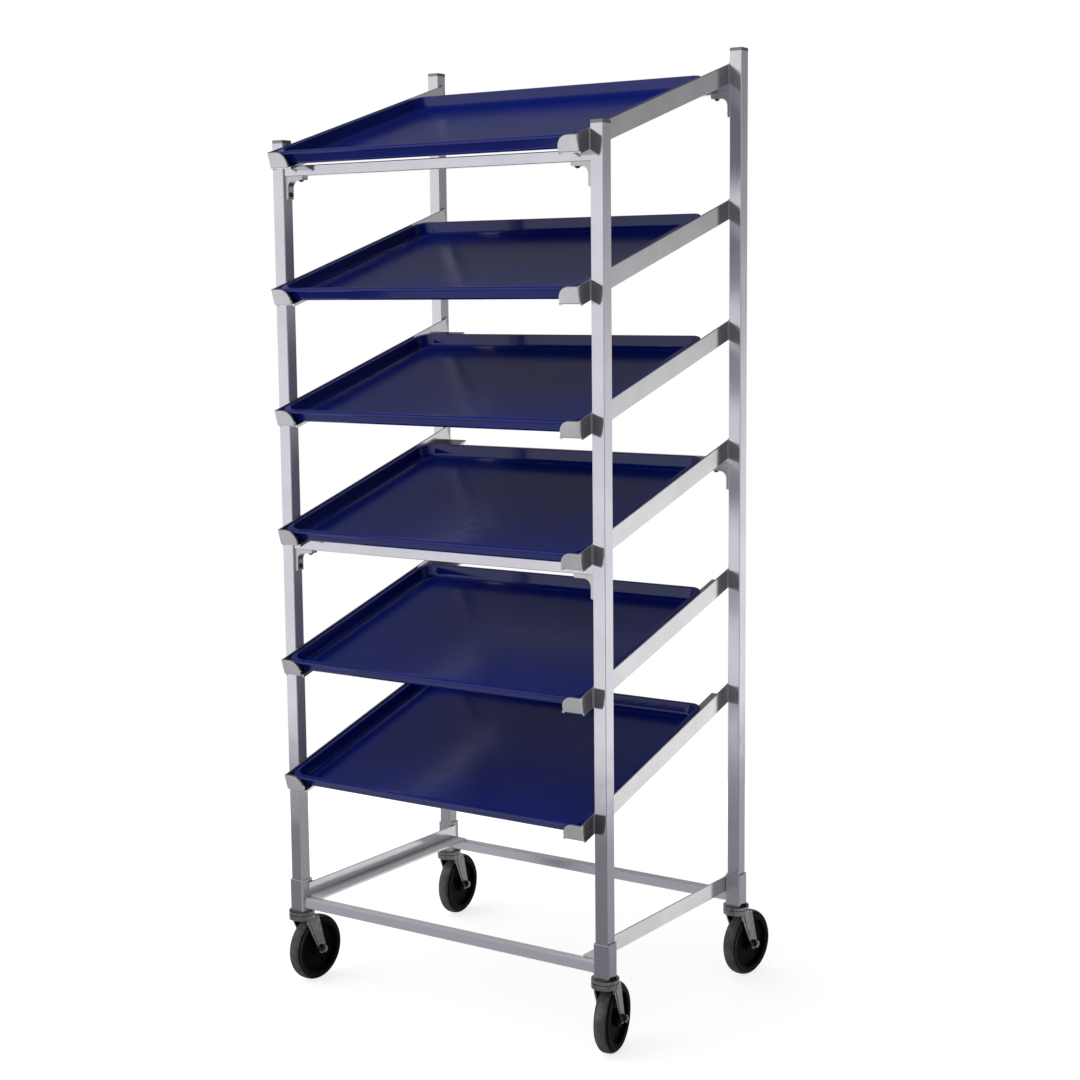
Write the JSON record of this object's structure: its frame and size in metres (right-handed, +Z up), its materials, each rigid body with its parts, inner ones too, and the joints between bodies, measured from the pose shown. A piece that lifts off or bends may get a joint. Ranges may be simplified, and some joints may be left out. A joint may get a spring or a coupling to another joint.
{
  "type": "slanted pan display rack",
  "caption": "Rolling display rack of square aluminium posts with sloping angle rails; shallow blue pans slide on the rails down to front stops, over a base frame on swivel stem casters.",
  "frame": {"origin": "on the floor, midway between the four posts", "axes": "+X to the right seen from the low front, +Y to the back, where the pans are high, +Z up"},
  "size_m": [0.7609, 0.6311, 1.778],
  "materials": {
    "post_aluminium": "bright satin",
    "rail_aluminium": "mill extruded",
    "brace_aluminium": "cast",
    "cap_plastic": "moulded",
    "pan_blue": "glossy moulded",
    "dark_steel": "dark",
    "zinc_steel": "zinc plated",
    "bearing_steel": "ground",
    "wheel_plastic": "moulded",
    "tread_rubber": "semi-matte"
  },
  "bodies": {
    "frame": {"post_front_left": "post_aluminium", "post_front_right": "post_aluminium", "post_back_left": "post_aluminium", "post_back_right": "post_aluminium", "post_caps": "cap_plastic", "foot_sleeves": "post_aluminium", "rail_1_left": "rail_aluminium", "rail_1_right": "rail_aluminium", "rail_2_left": "rail_aluminium", "rail_2_right": "rail_aluminium", "rail_3_left": "rail_aluminium", "rail_3_right": "rail_aluminium", "rail_4_left": "rail_aluminium", "rail_4_right": "rail_aluminium", "rail_5_left": "rail_aluminium", "rail_5_right": "rail_aluminium", "rail_6_left": "rail_aluminium", "rail_6_right": "rail_aluminium", "pan_stops": "rail_aluminium", "cross_bar_3_front": "post_aluminium", "cross_bar_3_back": "post_aluminium", "cross_bar_6_front": "post_aluminium", "cross_bar_6_back": "post_aluminium", "corner_braces": "brace_aluminium", "brace_screws": "dark_steel", "base_tube_front": "post_aluminium", "base_tube_back": "post_aluminium", "base_rail_left": "rail_aluminium", "base_rail_right": "rail_aluminium", "caster_front_left_stem": "zinc_steel", "caster_front_right_stem": "zinc_steel", "caster_back_left_stem": "zinc_steel", "caster_back_right_stem": "zinc_steel", "swivel_balls": "bearing_steel"},
    "caster_front_left": {"caster_front_left_fork": "zinc_steel", "caster_front_left_axle": "zinc_steel", "caster_front_left_bushing": "zinc_steel"},
    "wheel_front_left": {"caster_front_left_wheel": "wheel_plastic", "caster_front_left_tyre": "tread_rubber"},
    "caster_front_right": {"caster_front_right_fork": "zinc_steel", "caster_front_right_axle": "zinc_steel", "caster_front_right_bushing": "zinc_steel"},
    "wheel_front_right": {"caster_front_right_wheel": "wheel_plastic", "caster_front_right_tyre": "tread_rubber"},
    "caster_back_left": {"caster_back_left_fork": "zinc_steel", "caster_back_left_axle": "zinc_steel", "caster_back_left_bushing": "zinc_steel"},
    "wheel_back_left": {"caster_back_left_wheel": "wheel_plastic", "caster_back_left_tyre": "tread_rubber"},
    "caster_back_right": {"caster_back_right_fork": "zinc_steel", "caster_back_right_axle": "zinc_steel", "caster_back_right_bushing": "zinc_steel"},
    "wheel_back_right": {"caster_back_right_wheel": "wheel_plastic", "caster_back_right_tyre": "tread_rubber"},
    "pan_1": {"pan_1": "pan_blue"},
    "pan_2": {"pan_2": "pan_blue"},
    "pan_3": {"pan_3": "pan_blue"},
    "pan_4": {"pan_4": "pan_blue"},
    "pan_5": {"pan_5": "pan_blue"},
    "pan_6": {"pan_6": "pan_blue"}
  },
  "joints": [
    {"name": "swivel_front_left", "type": "hinge", "parent": "frame", "child": "caster_front_left", "pos_m": [-0.3488, -0.2393, 0.1405], "axis": [0, 0, 1], "continuous": true},
    {"name": "spin_front_left", "type": "hinge", "parent": "caster_front_left", "child": "wheel_front_left", "pos_m": [-0.34699, -0.20485, 0.0635], "axis": [0.9986, -0.0523, 0], "continuous": true},
    {"name": "swivel_front_right", "type": "hinge", "parent": "frame", "child": "caster_front_right", "pos_m": [0.3488, -0.2393, 0.1405], "axis": [0, 0, 1], "continuous": true},
    {"name": "spin_front_right", "type": "hinge", "parent": "caster_front_right", "child": "wheel_front_right", "pos_m": [0.34163, -0.20555, 0.0635], "axis": [0.9781, 0.2079, 0], "continuous": true},
    {"name": "swivel_back_left", "type": "hinge", "parent": "frame", "child": "caster_back_left", "pos_m": [-0.3488, 0.2393, 0.1405], "axis": [0, 0, 1], "continuous": true},
    {"name": "spin_back_left", "type": "hinge", "parent": "caster_back_left", "child": "wheel_back_left", "pos_m": [-0.35211, 0.27364, 0.0635], "axis": [0.9954, 0.0958, 0], "continuous": true},
    {"name": "swivel_back_right", "type": "hinge", "parent": "frame", "child": "caster_back_right", "pos_m": [0.3488, 0.2393, 0.1405], "axis": [0, 0, 1], "continuous": true},
    {"name": "spin_back_right", "type": "hinge", "parent": "caster_back_right", "child": "wheel_back_right", "pos_m": [0.353, 0.27354, 0.0635], "axis": [0.9925, -0.1219, 0], "continuous": true},
    {"name": "slide_pan_1", "type": "slide", "parent": "frame", "child": "pan_1", "axis": [0, 0.9578, 0.2874], "range_m": [0, 0.3]},
    {"name": "slide_pan_2", "type": "slide", "parent": "frame", "child": "pan_2", "axis": [0, 0.9578, 0.2874], "range_m": [0, 0.3]},
    {"name": "slide_pan_3", "type": "slide", "parent": "frame", "child": "pan_3", "axis": [0, 0.9578, 0.2874], "range_m": [0, 0.3]},
    {"name": "slide_pan_4", "type": "slide", "parent": "frame", "child": "pan_4", "axis": [0, 0.9578, 0.2874], "range_m": [0, 0.3]},
    {"name": "slide_pan_5", "type": "slide", "parent": "frame", "child": "pan_5", "axis": [0, 0.9578, 0.2874], "range_m": [0, 0.3]},
    {"name": "slide_pan_6", "type": "slide", "parent": "frame", "child": "pan_6", "axis": [0, 0.9578, 0.2874], "range_m": [0, 0.3]}
  ]
}
